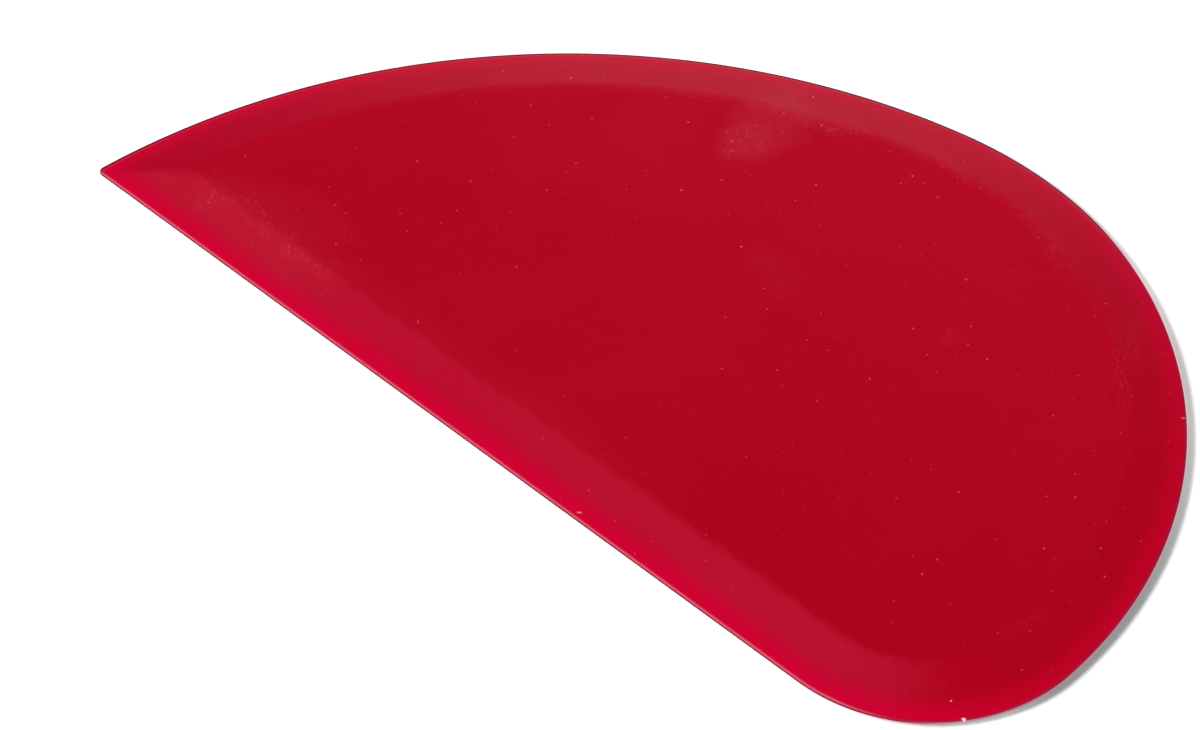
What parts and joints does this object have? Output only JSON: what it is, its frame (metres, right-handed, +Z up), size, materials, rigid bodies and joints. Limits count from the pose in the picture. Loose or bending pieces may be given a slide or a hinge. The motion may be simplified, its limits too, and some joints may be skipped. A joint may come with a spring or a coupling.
{
  "type": "bowl scraper",
  "caption": "Half-moon silicone bowl scraper with a straight edge, a sharp tip, a round heel, a bevelled rim with a thin flexible lip, and a stiffening plate sealed inside.",
  "frame": {"origin": "centre of the blade's bounding box on the face that it lies on", "axes": "+X along the straight edge from the sharp tip to the round heel, +Y from the straight edge to the curved edge, +Z up out of the blade's flat face"},
  "size_m": [0.1499, 0.0872, 0.003],
  "materials": {
    "red_silicone": "smooth satin",
    "core_nylon": "matte"
  },
  "bodies": {
    "root": {"silicone_skin": "red_silicone", "core_plate": "core_nylon"}
  },
  "joints": []
}
